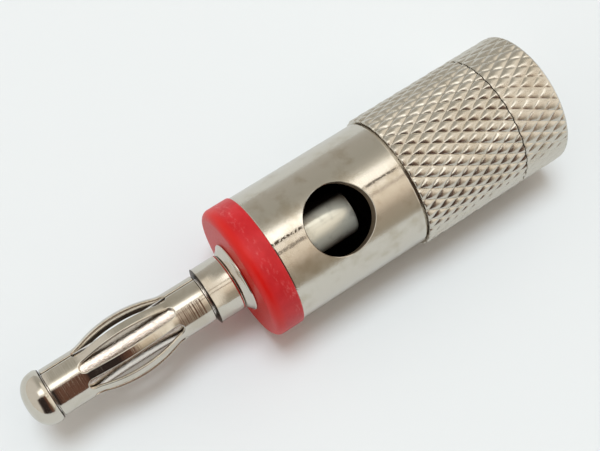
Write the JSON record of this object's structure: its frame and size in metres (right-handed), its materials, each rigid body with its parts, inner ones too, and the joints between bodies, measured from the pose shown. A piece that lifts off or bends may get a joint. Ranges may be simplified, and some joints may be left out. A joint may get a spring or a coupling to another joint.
{
  "type": "banana plug",
  "caption": "Nickel-plated banana plug with a slotted lantern-spring contact, a red colour ring, a barrel with a side wire hole, and knurled screw clamp and cap.",
  "frame": {"origin": "centre of the rear cap's flat end face, where the plug stands", "axes": "+Z along the plug's axis towards the contact pin's tip, -Y out of the wire hole in the barrel's side"},
  "size_m": [0.0104, 0.0102, 0.0417],
  "materials": {
    "pin_nickel": "bright nickel plating on turned brass",
    "spring_nickel": "bright nickel plating on thin sheet",
    "barrel_nickel": "slightly cloudy nickel plating on turned brass",
    "knurl_nickel": "bright nickel plating on knurled brass",
    "inner_nickel": "nickel plating on turned brass",
    "red_plastic": "moulded, glossy, slightly scuffed"
  },
  "bodies": {
    "plug_body": {"barrel": "barrel_nickel", "contact_body": "pin_nickel", "contact_pin": "pin_nickel", "colour_ring": "red_plastic"},
    "spring_body": {"lantern_spring": "spring_nickel"},
    "pressure_body": {"pressure_ring": "inner_nickel"},
    "clamp_body": {"clamp_sleeve": "knurl_nickel"},
    "collet_body": {"cable_collet": "inner_nickel"},
    "cap_body": {"rear_cap": "knurl_nickel"}
  },
  "joints": [
    {"name": "spring_spin", "type": "hinge", "parent": "plug_body", "child": "spring_body", "pos_m": [0, 0, 0.03385], "axis": [0, 0, 1], "continuous": true},
    {"name": "clamp_travel", "type": "slide", "parent": "plug_body", "child": "pressure_body", "axis": [0, 0, -1], "range_m": [0, 0.0012]},
    {"name": "clamp_turn", "type": "hinge", "parent": "pressure_body", "child": "clamp_body", "pos_m": [0, 0, 0.0126], "axis": [0, 0, -1], "range_deg": [0, 720]},
    {"name": "cap_travel", "type": "slide", "parent": "clamp_body", "child": "collet_body", "axis": [0, 0, -1], "range_m": [0, 0.0012]},
    {"name": "cap_turn", "type": "hinge", "parent": "collet_body", "child": "cap_body", "pos_m": [0, 0, 0.002], "axis": [0, 0, -1], "range_deg": [0, 720]}
  ],
  "couplings": [
    {"joint": "clamp_turn", "follows": "clamp_travel", "rad_per_m": 10472},
    {"joint": "cap_turn", "follows": "cap_travel", "rad_per_m": 10472}
  ]
}
